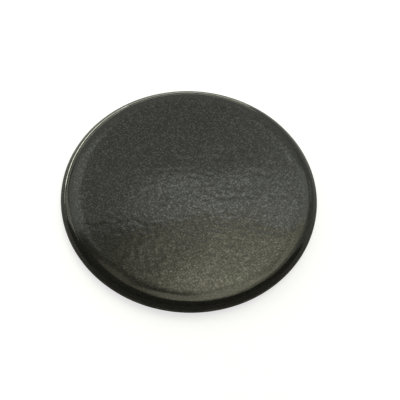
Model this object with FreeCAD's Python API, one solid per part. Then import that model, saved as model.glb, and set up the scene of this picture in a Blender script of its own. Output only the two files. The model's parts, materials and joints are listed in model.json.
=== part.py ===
# Gas burner cap: the round lid that lies loose on the crown of a hob burner.
# One casting, turned about the Z axis from a single half section.
# Millimetres, +Z up. The origin is on the axis, at the level of the locating ring's foot.

import FreeCAD
import Part

import math
import os

# Plate
cap_diameter = 100.0
plate_height = 4.9  # from the underside, which is the seat, up to the flat of the top

# Border of the top: a soft shoulder rolls over into a sloping flank, with a short upright side under it
shoulder_width = 6.6  # from the rim in to the corner that the shoulder rounds
shoulder_slope = 7.0  # degrees
shoulder_radius = 32.0
edge_radius = 4.0  # between the shoulder and the flank
flank_slope = 53.0  # degrees
flank_radius = 1.2  # between the flank and the side
side_height = 1.5  # from the seat up to the flank
lower_edge_radius = 0.7

# Locating ring that drops into the burner crown
ring_diameter = 68.0
ring_width = 2.6  # at its foot
ring_height = 2.6  # below the seat
ring_chamfer = 0.5  # on both edges of the foot, outside to lead it into the crown
ring_draft = 8.0  # degrees, on the inside only: the outside is turned to fit
ring_root_radius = 1.5  # on the inside only: outside, the seat is turned up to the ring


def drop(run, slope):
    # Fall over a run at a slope in degrees.
    return run * math.tan(math.radians(slope))


def section_corners():
    # The half section, clockwise from the middle of the top: radius, height and rounding of each corner.
    rim = cap_diameter / 2
    shoulder = rim - shoulder_width
    ring = ring_diameter / 2
    ring_inside = ring - ring_width

    seat_level = ring_height
    side_level = seat_level + side_height
    top_level = seat_level + plate_height

    # The flank rises inwards from the side until it meets the shoulder's slope.
    shoulder_over_rim = top_level - drop(shoulder_width, shoulder_slope)
    flank_width = (shoulder_over_rim - side_level) / (drop(1, flank_slope) - drop(1, shoulder_slope))

    top = [
        (0, top_level, 0),
        (shoulder, top_level, shoulder_radius),
        (rim - flank_width, side_level + drop(flank_width, flank_slope), edge_radius),
        (rim, side_level, flank_radius),
        (rim, seat_level, lower_edge_radius),
    ]
    locating_ring = [
        (ring, seat_level, 0),
        (ring, ring_chamfer, 0),
        (ring - ring_chamfer, 0, 0),
        (ring_inside + ring_chamfer, 0, 0),
        (ring_inside - drop(ring_chamfer, ring_draft), ring_chamfer, 0),
        (ring_inside - drop(ring_height, ring_draft), seat_level, ring_root_radius),
    ]
    middle = [(0, seat_level, 0)]
    return top + locating_ring + middle


def rounded_corner(before, corner, after, radius):
    # Start, middle and end of the arc that rounds a corner, tangent to both of its sides.
    back = (before - corner).normalize()
    ahead = (after - corner).normalize()
    half_angle = back.getAngle(ahead) / 2
    reach = radius / math.tan(half_angle)
    bisector = (back + ahead).normalize()
    middle = corner + bisector * (radius / math.sin(half_angle) - radius)
    return corner + back * reach, middle, corner + ahead * reach


def rounded_path(corners):
    # Edges through the corners in turn: straight runs, with a tangent arc where a corner is rounded.
    points = [FreeCAD.Vector(radius, 0, height) for radius, height, _ in corners]
    edges = []
    run_start = points[0]
    for before, corner, after, (_, _, rounding) in zip(points, points[1:], points[2:], corners[1:]):
        if rounding:
            arc_start, arc_middle, arc_end = rounded_corner(before, corner, after, rounding)
            edges.append(Part.LineSegment(run_start, arc_start).toShape())
            edges.append(Part.Arc(arc_start, arc_middle, arc_end).toShape())
            run_start = arc_end
        else:
            edges.append(Part.LineSegment(run_start, corner).toShape())
            run_start = corner
    edges.append(Part.LineSegment(run_start, points[-1]).toShape())
    return edges


def burner_cap():
    # The section closes along the axis and turns once round it.
    outline = rounded_path(section_corners())
    top_middle = outline[0].firstVertex().Point
    underside_middle = outline[-1].lastVertex().Point
    axis_side = Part.LineSegment(underside_middle, top_middle).toShape()
    section = Part.Face(Part.Wire(outline + [axis_side]))
    return section.revolve(FreeCAD.Vector(0, 0, 0), FreeCAD.Vector(0, 0, 1), 360)


os.makedirs("parts", exist_ok=True)
cap = burner_cap()
cap.exportStep("parts/burner_cap.step")
print(f"burner_cap: {cap.ShapeType}, valid {cap.isValid()}, {cap.Volume / 1000:.2f} cubic centimetres")
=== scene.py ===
import json
import math

import bpy
import numpy as np
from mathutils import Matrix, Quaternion, Vector


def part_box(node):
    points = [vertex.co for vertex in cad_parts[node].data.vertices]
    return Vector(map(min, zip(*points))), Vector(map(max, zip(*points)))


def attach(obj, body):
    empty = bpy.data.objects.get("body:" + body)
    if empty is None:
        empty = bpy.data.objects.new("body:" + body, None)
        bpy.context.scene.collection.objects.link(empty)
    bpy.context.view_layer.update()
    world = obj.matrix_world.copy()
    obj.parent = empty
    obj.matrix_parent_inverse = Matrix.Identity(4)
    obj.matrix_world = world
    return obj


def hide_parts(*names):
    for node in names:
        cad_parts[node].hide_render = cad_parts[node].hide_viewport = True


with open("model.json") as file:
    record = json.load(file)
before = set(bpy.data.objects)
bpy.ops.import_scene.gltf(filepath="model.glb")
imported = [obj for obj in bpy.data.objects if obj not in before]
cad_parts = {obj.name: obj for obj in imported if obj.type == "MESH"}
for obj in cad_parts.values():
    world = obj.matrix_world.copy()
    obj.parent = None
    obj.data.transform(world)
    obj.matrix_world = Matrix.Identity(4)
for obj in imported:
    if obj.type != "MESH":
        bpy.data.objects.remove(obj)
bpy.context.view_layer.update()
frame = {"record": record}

mm = 0.001


class Value:
    # a socket in a shader: arithmetic on it adds Math nodes

    def __init__(self, paint, socket):
        self.paint = paint
        self.socket = socket

    def maths(self, operation, first, second):
        return self.paint.node("ShaderNodeMath", {"operation": operation}, {0: first, 1: second})

    def __add__(self, other):
        return self.maths("ADD", self, other)

    def __radd__(self, other):
        return self.maths("ADD", other, self)

    def __sub__(self, other):
        return self.maths("SUBTRACT", self, other)

    def __rsub__(self, other):
        return self.maths("SUBTRACT", other, self)

    def __mul__(self, other):
        return self.maths("MULTIPLY", self, other)

    def __rmul__(self, other):
        return self.maths("MULTIPLY", other, self)


class Paint:
    # the node tree of a material, a lamp or the world

    def __init__(self, owner):
        owner.use_nodes = True
        self.tree = owner.node_tree
        self.tree.nodes.clear()

    def node(self, kind, settings=None, values=None, output=0):
        made = self.tree.nodes.new(kind)
        for name, setting in (settings or {}).items():
            setattr(made, name, setting)
        for name, value in (values or {}).items():
            if isinstance(value, Value):
                self.tree.links.new(value.socket, made.inputs[name])
            else:
                made.inputs[name].default_value = value
        return Value(self, made.outputs[output]) if made.outputs else made


def softStep(paint, value, start, end):
    # 0 at start and before it, 1 at end and past it, smooth between; start may be the larger one
    return paint.node("ShaderNodeMapRange", {"interpolation_type": "SMOOTHSTEP"},
                      {"Value": value, "From Min": start, "From Max": end})


def mixColour(paint, share, first, second):
    return paint.node("ShaderNodeMix", {"data_type": "RGBA"},
                      {"Factor": share, "A": first, "B": second}, output="Result")


# sizes in mm; the rim, the levels and the ring's radius come from the frame
capShape = {
    "shoulderWidth": 6.6,       # rim in to the corner that the shoulder rounds
    "shoulderSlope": 7.0,       # degrees
    "shoulderRadius": 32.0,
    "edgeRadius": 4.0,
    "flankSlope": 53.0,         # degrees
    "sideHeight": 1.5,          # upright part of the edge, from the seat up to the flank
    "flankRadius": 1.2,
    "lowerEdgeRadius": 0.7,
    "ringWidth": 2.6,
    "ringChamfer": 0.5,
    "ringDraft": 8.0,           # degrees
    "ringRootRadius": 1.5,
    "coatRadius": 0.2,          # the enamel softens the corners that the casting has sharp
    "faceStep": 0.45,           # between rings of points on top
    "underStep": 1.5,           # and underneath
    "arcStep": 8.0,             # degrees between rings on an arc
    "arcFewest": 3,             # rings on a small arc
    "holdStep": 0.12,           # a ring this close to each arc keeps the flats flat
    "holdRoom": 0.48,           # a run that is shorter has no such rings
    "around": 432,              # points on a ring
}

# the enamel's unevenness: shortest and longest wave and height in mm, and the seed of its draw
enamelWaves = {
    "swell": (14.0, 30.0, 0.012, 7),
    "peel": (2.0, 3.6, 0.004, 8),
    "count": 60,                # waves in each
    "smoothFrom": 42.0,         # mm from the axis: over the shoulder the peel gets lower from here
    "smoothTo": 46.0,           # to here
    "smoothLeft": 0.5,          # share of it that is left there
}


def roundedSection(corners, steps, shape):
    # straight runs from corner to corner, each corner swapped for an arc of its own radius
    # that is tangent to both sides: arc centre = corner + bisector * radius / sin(half angle)
    places = [np.array(corner[:2]) for corner in corners]
    hold = shape["holdStep"]
    stretches = []
    runStart = places[0]

    def straight(start, end, step):
        length = np.linalg.norm(end - start)
        along = np.linspace(0, length, max(1, round(length / step)), endpoint=False)
        if length > shape["holdRoom"]:
            along = np.union1d(along, [hold, length - hold])
        return start + (end - start) * (along / length)[:, None]

    radii = [radius for _, _, radius in corners]
    for before, corner, after, radius, step in zip(places, places[1:], places[2:], radii[1:], steps):
        back = (before - corner) / np.linalg.norm(before - corner)
        ahead = (after - corner) / np.linalg.norm(after - corner)
        halfAngle = math.acos(back @ ahead) / 2
        bisector = (back + ahead) / np.linalg.norm(back + ahead)
        centre = corner + bisector * radius / math.sin(halfAngle)
        arcStart = corner + back * radius / math.tan(halfAngle)
        spoke = arcStart - centre
        turn = (math.pi - 2 * halfAngle) * np.sign(ahead[0] * back[1] - ahead[1] * back[0])
        byAngle = round(abs(turn) / math.radians(shape["arcStep"]))
        byLength = round(abs(turn) * radius / step)
        count = max(shape["arcFewest"], byAngle, byLength)
        angles = turn * np.linspace(0, 1, count, endpoint=False)[:, None]
        across = np.array([-spoke[1], spoke[0]])
        stretches.append(straight(runStart, arcStart, step))
        stretches.append(centre + spoke * np.cos(angles) + across * np.sin(angles))
        runStart = corner + ahead * radius / math.tan(halfAngle)
    stretches.append(straight(runStart, places[-1], steps[-1]))
    stretches.append(places[-1][None])
    return np.concatenate(stretches)


def turnedSkin(section, around):
    # section (radius, height) carried once round the axis: x = r cos t, y = r sin t, z = h;
    # the first and last point lie on the axis and become single pole points
    turn = np.linspace(0, 2 * math.pi, around, endpoint=False)
    cosine, sine = np.cos(turn), np.sin(turn)
    radius, height = section[1:-1].T[:, :, None]
    level = np.ones(around)
    rings = np.stack([radius * cosine, radius * sine, height * level], axis=-1).reshape(-1, 3)
    points = np.concatenate([rings, [[0, 0, section[0, 1]], [0, 0, section[-1, 1]]]])

    slope = np.gradient(section, axis=0)[1:-1]
    slope = (slope / np.linalg.norm(slope, axis=1)[:, None]).T[:, :, None]
    outward = np.stack([-slope[1] * cosine, -slope[1] * sine, slope[0] * level], axis=-1).reshape(-1, 3)
    normals = np.concatenate([outward, [[0, 0, 1], [0, 0, -1]]])

    here = np.arange(around)
    there = np.roll(here, -1)
    ring = np.arange(len(radius) - 1)[:, None] * around
    quads = np.stack([ring + here, ring + around + here, ring + around + there, ring + there], axis=-1)
    top, bottom = len(rings), len(rings) + 1
    last = len(rings) - around
    topFan = np.stack([np.full(around, top), here, there], axis=-1)
    bottomFan = np.stack([np.full(around, bottom), last + there, last + here], axis=-1)
    return points, normals, quads.reshape(-1, 4).tolist() + topFan.tolist() + bottomFan.tolist()


def waveField(points, shortest, longest, count, seed):
    # sum of plane waves of random direction, length and phase, scaled to a spread of 1
    draw = np.random.default_rng(seed)
    direction = draw.normal(size=(count, 3))
    direction /= np.linalg.norm(direction, axis=1)[:, None]
    number = 2 * math.pi / draw.uniform(shortest, longest, count)
    phase = draw.uniform(0, 2 * math.pi, count)
    return np.cos(points @ (direction * number[:, None]).T + phase).sum(axis=1) * math.sqrt(2 / count)


def unevenSkin(points, normals, waves):
    # each point moves inwards along its normal by the waves' depth below their highest crest
    radius = np.hypot(points[:, 0], points[:, 1])
    share = np.clip((radius - waves["smoothFrom"]) / (waves["smoothTo"] - waves["smoothFrom"]), 0, 1)
    peelLeft = 1 - (1 - waves["smoothLeft"]) * share * share * (3 - 2 * share)
    depth = 0
    for name, left in (("swell", 1), ("peel", peelLeft)):
        shortest, longest, height, seed = waves[name]
        depth = depth + height * left * waveField(points, shortest, longest, waves["count"], seed)
    return points + normals * (depth - depth.max())[:, None]


def meshPiece(name, points, faces):
    mesh = bpy.data.meshes.new(name)
    mesh.from_pydata((points * mm).tolist(), [], faces)
    mesh.polygons.foreach_set("use_smooth", np.ones(len(mesh.polygons), dtype=bool))
    mesh.update()
    piece = bpy.data.objects.new(name, mesh)
    bpy.context.collection.objects.link(piece)
    return piece


def burnerCap(shape, waves):
    # the half section from the middle of the top round to the middle of the underside, turned and made uneven
    low, high = (np.array(corner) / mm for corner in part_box("burner_cap"))
    mounts = {mount["name"]: mount for mount in frame["record"]["mounts"]}
    rim = (high[0] - low[0]) / 2
    foot, top = low[2], high[2]
    seat = mounts["seat"]["pos_m"][2] / mm
    ring = mounts["locating_ring"]["dims"]["r_mm"]
    ringInside = ring - shape["ringWidth"]
    draft = math.tan(math.radians(shape["ringDraft"]))
    shoulderFall = math.tan(math.radians(shape["shoulderSlope"]))
    flankFall = math.tan(math.radians(shape["flankSlope"]))
    side = seat + shape["sideHeight"]
    edge = top - shape["shoulderWidth"] * shoulderFall
    flankWidth = (edge - side) / (flankFall - shoulderFall)
    coat, chamfer = shape["coatRadius"], shape["ringChamfer"]
    topCorners = [
        (0, top, 0),
        (rim - shape["shoulderWidth"], top, shape["shoulderRadius"]),
        (rim - flankWidth, side + flankWidth * flankFall, shape["edgeRadius"]),
        (rim, side, shape["flankRadius"]),
        (rim, seat, shape["lowerEdgeRadius"]),
    ]
    underCorners = [
        (ring, seat, coat),
        (ring, foot + chamfer, coat),
        (ring - chamfer, foot, coat),
        (ringInside + chamfer, foot, coat),
        (ringInside - draft * chamfer, foot + chamfer, coat),
        (ringInside - draft * (seat - foot), seat, shape["ringRootRadius"]),
        (0, seat, 0),
    ]
    steps = [shape["faceStep"]] * (len(topCorners) - 1) + [shape["underStep"]] * len(underCorners)
    section = roundedSection(topCorners + underCorners, steps, shape)
    points, normals, faces = turnedSkin(section, shape["around"])
    return meshPiece("burnerCapEnamelled", unevenSkin(points, normals, waves), faces)


# sizes in mm; each noise also has its detail, which adds finer waves to it
enamel = {
    "black": (0.0085, 0.0085, 0.0072, 1),
    "worn": (0.0112, 0.0108, 0.0086, 1),
    "cloudSize": 16.0,          # slow clouds from black to worn
    "cloudDetail": 3.0,
    "roughness": 0.15,
    "roughnessVary": 0.04,
    "ior": 1.25,                # of the enamel under its glaze
    "glaze": 0.44,              # share of the surface that the glaze closes over
    "glazeVary": 1.35,
    "glazeRoughness": 0.065,
    "glazeIor": 1.5,
    "speckSize": 0.55,          # bright specks in the glaze
    "speckDetail": 0.0,
    "speckMean": 0.15,          # of the cubed noise, taken off so that specks leave the mean glaze as it is
    "fleck": (0.026, 0.0255, 0.0215, 1),
    "fleckFrom": 0.42,          # paler flecks lie where the specks' noise rises from here
    "fleckTo": 0.78,            # to here
    "grainSize": 0.8,
    "grainDetail": 1.0,
    "grainHeight": 0.022,
    "under": (0.030, 0.026, 0.020, 1),
    "underPale": (0.078, 0.069, 0.053, 1),
    "underRoughness": 0.42,
    "underVary": 0.14,
    "underGlaze": 0.25,         # share of the glaze that is left under the rim
    "underFrom": 5.0,           # above the foot: the glaze thins out from here
    "underTo": 3.8,             # to the dull ground coat here
    "underWander": 0.9,         # this border wanders up and down
    "mottleSize": 6.0,          # patches from under to underPale
    "mottleDetail": 4.0,
    "mottleFrom": 0.35,
    "mottleTo": 0.65,
    "gritSize": 1.5,            # coarser grain of the ground coat
    "gritDetail": 2.0,
    "gritHeight": 0.06,
}

noiseMiddle = 0.5


def blackEnamel(look, waves):
    material = bpy.data.materials.new("blackEnamel")
    paint = Paint(material)
    place = paint.node("ShaderNodeTexCoord", output="Object")

    def noise(name):
        return paint.node("ShaderNodeTexNoise", None, {
            "Vector": place, "Scale": 1 / (look[name + "Size"] * mm), "Detail": look[name + "Detail"]})

    flat = paint.node("ShaderNodeVectorMath", {"operation": "MULTIPLY"}, {0: place, 1: (1, 1, 0)})
    radius = paint.node("ShaderNodeVectorMath", {"operation": "LENGTH"}, {0: flat}, output="Value")
    smooth = softStep(paint, radius, waves["smoothFrom"] * mm, waves["smoothTo"] * mm)
    left = 1 - (1 - waves["smoothLeft"]) * smooth        # grain and specks fade with the mesh's own peel
    clouds = noise("cloud")
    height = paint.node("ShaderNodeSeparateXYZ", None, {0: place}, output="Z")
    wander = (clouds - noiseMiddle) * (look["underWander"] * mm)
    under = softStep(paint, height + wander, look["underFrom"] * mm, look["underTo"] * mm)

    grain = noise("grain") * left * (look["grainHeight"] * mm)
    grit = noise("grit") * under * (look["gritHeight"] * mm)
    relief = paint.node("ShaderNodeBump", None, {"Strength": 1.0, "Distance": 1.0, "Height": grain + grit})

    speck = noise("speck")
    brightest = speck * speck * speck                    # cubed, so that the bright ones stand out
    specks = (brightest - look["speckMean"]) * left
    flecks = softStep(paint, speck, look["fleckFrom"], look["fleckTo"]) * left
    mottle = softStep(paint, noise("mottle"), look["mottleFrom"], look["mottleTo"])

    plainColour = mixColour(paint, clouds, look["black"], look["worn"])
    topColour = mixColour(paint, flecks, plainColour, look["fleck"])
    underColour = mixColour(paint, mottle, look["under"], look["underPale"])
    colour = mixColour(paint, under, topColour, underColour)
    topRough = look["roughness"] + look["roughnessVary"] * (clouds - noiseMiddle)
    underRough = look["underRoughness"] + look["underVary"] * (mottle - noiseMiddle)
    rough = topRough + under * (underRough - topRough)
    glaze = (look["glaze"] + look["glazeVary"] * specks) * (1 - under * (1 - look["underGlaze"]))
    finish = paint.node("ShaderNodeBsdfPrincipled", None, {
        "Base Color": colour, "Roughness": rough, "IOR": look["ior"], "Normal": relief,
        "Coat Weight": glaze, "Coat Roughness": look["glazeRoughness"], "Coat IOR": look["glazeIor"]})
    paint.node("ShaderNodeOutputMaterial", None, {"Surface": finish})
    return material


studio = {
    "floorSize": 6.0,           # m
    "floorColour": (0.42, 0.42, 0.44, 1),
    "floorLift": 0.70,          # brings the floor to white for the camera
    "liftColour": (1, 1, 1, 1),
    "floorGloss": 0.15,         # share of that lift that gloss shows
    "worldLevel": 0.09,
    "worldColour": (0.97, 1.0, 0.95, 1),
    "ceiling": 1.5,             # m
    "boxGap": 0.004,            # m up to the next ceiling box: in one plane they would hide each other
    "bow": 0.60,                # the edge where the warm boxes meet the cool ones is bowed:
    "bowAt": 0.05,              # it falls back by bow * (x - bowAt) squared
}

warm, cool, day = (1.0, 0.98, 0.73), (0.95, 1.0, 0.92), (0.98, 1.0, 0.83)

# soft boxes under the ceiling, in m: reach in x and y, and width of the fade at the left, right,
# near and far edge
ceilingBoxes = {
    "warmBack": {"x": (-0.165, 0.66), "y": (0.36, 0.826), "fade": (0.28, 0.44, 0.10, 0.012), "bowed": True,
                 "level": 2.6, "colour": warm},
    "warmRidge": {"x": (-0.20, 0.34), "y": (0.44, 0.80), "fade": (0.26, 0.30, 0.10, 0.11),
                  "level": 2.0, "colour": warm},
    "warmMiddle": {"x": (-0.05, 0.70), "y": (0.30, 0.46), "fade": (0.20, 0.40, 0.03, 0.10),
                   "level": 3.3, "colour": warm},
    "warmFront": {"x": (-0.40, 0.42), "y": (-0.38, 0.330), "fade": (0.38, 0, 0.05, 0.03),
                  "level": 2.6, "colour": warm},
    "warmInner": {"x": (0.02, 0.42), "y": (-0.10, 0.340), "fade": (0.15, 0.10, 0.10, 0.03),
                  "level": 1.0, "colour": warm},
    "warmCorner": {"x": (-0.50, -0.20), "y": (0.0, 0.50), "fade": (0.10, 0.10, 0.10, 0.04),
                   "level": 0.8, "colour": warm},
    "warmLeft": {"x": (-0.38, -0.10), "y": (0.36, 0.822), "fade": (0.06, 0.08, 0.06, 0.012), "bowed": True,
                 "level": 0.24, "colour": warm},
    "warmSide": {"x": (0.42, 0.80), "y": (-0.40, 0.80), "fade": (0, 0, 0, 0), "level": 2.0, "colour": warm},
    "warmEnd": {"x": (0.80, 1.40), "y": (-0.35, 0.80), "fade": (0, 0, 0, 0), "level": 0.8, "colour": warm},
    "warmEdge": {"x": (0.05, 0.96), "y": (-0.62, -0.38), "fade": (0.10, 0.10, 0.10, 0),
                 "level": 1.0, "colour": warm},
    "coolBand": {"x": (-0.20, 0.47), "y": (0.853, 1.01), "fade": (0.24, 0.50, 0.012, 0.15), "bowed": True,
                 "level": 3.1, "colour": cool},
    "coolBase": {"x": (-0.75, 0.42), "y": (0.845, 1.22), "fade": (0.08, 0, 0.012, 0), "bowed": True,
                 "level": 0.92, "colour": cool},
    "coolRight": {"x": (0.05, 0.42), "y": (0.845, 1.22), "fade": (0.25, 0, 0.06, 0), "bowed": True,
                  "level": 1.0, "colour": cool},
    "coolSide": {"x": (0.42, 1.40), "y": (0.80, 1.22), "fade": (0, 0.90, 0, 0),
                 "level": 2.2, "colour": cool},
    "coolPatch": {"x": (-0.72, -0.20), "y": (0.60, 1.22), "fade": (0.15, 0.13, 0.12, 0),
                  "level": 1.1, "colour": cool},
    "coolEnd": {"x": (-1.40, -0.70), "y": (0.44, 1.22), "fade": (0.10, 0, 0.10, 0),
                "level": 1.3, "colour": cool},
}

# soft boxes on the walls and at the window: centre and size in m; a box with no way of its own faces the cap.
# The wall, the window and its edge are each split into a strip by the floor and one higher up, so that the
# flat face doesn't mirror them from most sides. The last three give it some tone in low views from behind
wallBoxes = {
    "backWall": {"at": (-0.225, 1.6, 1.57), "size": (1.95, 0.94), "faces": (0, -1, 0),
                 "level": 1.05, "colour": cool},
    "backEnd": {"at": (1.575, 1.6, 1.52), "size": (1.65, 1.04), "faces": (0, -1, 0),
                "level": 0.66, "colour": cool},
    "wallFoot": {"at": (-0.075, 1.6, 0.14), "size": (1.05, 0.28), "faces": (0, -1, 0),
                 "level": 6.5, "colour": day},
    "wallHead": {"at": (-0.075, 1.6, 0.90), "size": (1.05, 0.40), "faces": (0, -1, 0),
                 "level": 3.1, "colour": day},
    "lowEnd": {"at": (1.025, 1.6, 0.51), "size": (1.15, 0.98), "faces": (0, -1, 0),
               "level": 0.7, "colour": cool},
    "sideWall": {"at": (1.9, 1.0, 1.5), "size": (1.8, 3.0), "faces": (-1, 0, 0),
                 "level": 0.5, "colour": cool},
    "windowFoot": {"at": (-0.976, 0.976, 0.12), "size": (0.74, 0.23), "level": 13.5, "colour": day},
    "windowHead": {"at": (-0.976, 0.976, 0.77), "size": (0.74, 0.36), "level": 2.2, "colour": day},
    "edgeFoot": {"at": (-0.572, 1.255, 0.13), "size": (0.27, 0.26), "level": 9.0, "colour": day},
    "edgeHead": {"at": (-0.572, 1.255, 0.77), "size": (0.27, 0.36), "level": 2.7, "colour": day},
    "sideFoot": {"at": (-1.252, 0.580, 0.13), "size": (0.22, 0.26), "level": 3.2, "colour": day},
    "sideEnd": {"at": (-1.330, 0.370, 0.13), "size": (0.22, 0.26), "level": 1.1, "colour": day},
    "windowSide": {"at": (-1.264, 0.485, 0.88), "size": (0.48, 0.80), "level": 2.2, "colour": day},
    "frontFoot": {"at": (0, -1.4, 0.23), "size": (1.16, 0.46), "level": 0.13, "colour": day},
    "rightFoot": {"at": (0.99, -0.99, 0.23), "size": (1.16, 0.46), "level": 0.13, "colour": day},
    "leftFoot": {"at": (-0.99, -0.99, 0.23), "size": (1.16, 0.46), "level": 0.13, "colour": day},
}


def paleFloor(look):
    half = look["floorSize"] / 2
    mesh = bpy.data.meshes.new("floor")
    corners = [(-half, -half, 0), (half, -half, 0), (half, half, 0), (-half, half, 0)]
    mesh.from_pydata(corners, [], [(0, 1, 2, 3)])
    floor = bpy.data.objects.new("floor", mesh)
    bpy.context.collection.objects.link(floor)
    material = bpy.data.materials.new("paleFloor")
    paint = Paint(material)
    seen = paint.node("ShaderNodeLightPath", output="Is Camera Ray")
    gloss = paint.node("ShaderNodeLightPath", output="Is Glossy Ray")
    clear = paint.node("ShaderNodeLightPath", output="Is Transmission Ray")
    matt = paint.node("ShaderNodeBsdfDiffuse", None, {"Color": look["floorColour"]})
    shown = seen + gloss * look["floorGloss"] + clear
    lift = paint.node("ShaderNodeEmission", None,
                      {"Color": look["liftColour"], "Strength": shown * look["floorLift"]})
    both = paint.node("ShaderNodeAddShader", None, {0: matt, 1: lift})
    paint.node("ShaderNodeOutputMaterial", None, {"Surface": both})
    mesh.materials.append(material)


def softBox(name, box, at, faces, size):
    # an even rectangle of light: power = level * pi * area
    light = bpy.data.lights.new(name, "AREA")
    light.shape = "RECTANGLE"
    light.size, light.size_y = size
    light.color = box["colour"]
    light.energy = box["level"] * math.pi * size[0] * size[1]
    holder = bpy.data.objects.new(name, light)
    holder.location = at
    holder.rotation_euler = Vector(faces).to_track_quat("-Z", "Y").to_euler()
    bpy.context.collection.objects.link(holder)
    return light


def ceilingBox(name, box, look, level):
    # glow = product of soft steps, each rising from 0 at an edge of the box to 1 a fade's width inside it;
    # on a bowed box the near and far edges fall back by bow * (x - bowAt) squared, and it has room for that
    (left, right), (near, far) = box["x"], box["y"]
    room = 0
    if box.get("bowed"):
        room = look["bow"] * max(abs(left - look["bowAt"]), abs(right - look["bowAt"])) ** 2
    size = (right - left, far - near + room)
    light = softBox(name, box, ((left + right) / 2, far - size[1] / 2, level), (0, 0, -1), size)
    if not any(box["fade"]):
        return
    paint = Paint(light)
    spot = paint.node("ShaderNodeNewGeometry", output="Parametric")
    across = left + paint.node("ShaderNodeSeparateXYZ", None, {0: spot}, output="X") * size[0]
    along = near - room + paint.node("ShaderNodeSeparateXYZ", None, {0: spot}, output="Y") * size[1]
    if room:
        off = across - look["bowAt"]
        along = along + off * off * look["bow"]
    fadeLeft, fadeRight, fadeNear, fadeFar = box["fade"]
    glow = 1
    for place, edge, fade in ((across, left, fadeLeft), (across, right, -fadeRight),
                              (along, near, fadeNear), (along, far, -fadeFar)):
        if fade:
            glow = glow * softStep(paint, place, edge, edge + fade)
    shine = paint.node("ShaderNodeEmission", None, {"Strength": glow})
    paint.node("ShaderNodeOutputLight", None, {"Surface": shine})


def studioWorld(look):
    world = bpy.data.worlds.new("studio")
    bpy.context.scene.world = world
    sky = Paint(world)
    glow = sky.node("ShaderNodeBackground", None,
                    {"Color": look["worldColour"], "Strength": look["worldLevel"]})
    sky.node("ShaderNodeOutputWorld", None, {"Surface": glow})


photoView = {
    "elevation": 59.176,        # degrees above the floor
    "distance": 420.0,          # mm
    "lens": 97.023,             # mm
    "clip": (0.01, 50),         # m
    "roll": 3.621,              # degrees
    "target": (0.0, 0.0, 5.0),  # mm
    "aimOff": (4.225, -2.679),  # mm from the target, for the photo's framing
}


def photoCamera(look):
    elevation = math.radians(look["elevation"])
    target = Vector(look["target"]) * mm
    place = target + Vector((0, -math.cos(elevation), math.sin(elevation))) * look["distance"] * mm
    aim = target + Vector((*look["aimOff"], 0)) * mm - place
    lens = bpy.data.cameras.new("photoView")
    lens.lens = look["lens"]
    lens.clip_start, lens.clip_end = look["clip"]
    camera = bpy.data.objects.new("photoView", lens)
    camera.location = place
    turn = aim.to_track_quat("-Z", "Y") @ Quaternion((0, 0, 1), math.radians(look["roll"]))
    camera.rotation_euler = turn.to_euler()
    bpy.context.collection.objects.link(camera)
    bpy.context.scene.camera = camera


cap = burnerCap(capShape, enamelWaves)
cap.data.materials.append(blackEnamel(enamel, enamelWaves))
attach(cap, "root")
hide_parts("burner_cap")
triangles = sum(len(face.vertices) - 2 for face in cap.data.polygons)
print("cap:", len(cap.data.vertices), "points,", triangles, "triangles")

paleFloor(studio)
for step, (name, box) in enumerate(ceilingBoxes.items()):
    ceilingBox(name, box, studio, studio["ceiling"] + step * studio["boxGap"])
for name, box in wallBoxes.items():
    softBox(name, box, box["at"], box.get("faces", -Vector(box["at"])), box["size"])
studioWorld(studio)
print("studio: floor, lamps and world")

photoCamera(photoView)
bpy.context.scene.view_settings.view_transform = "Standard"
print("camera: photo view")
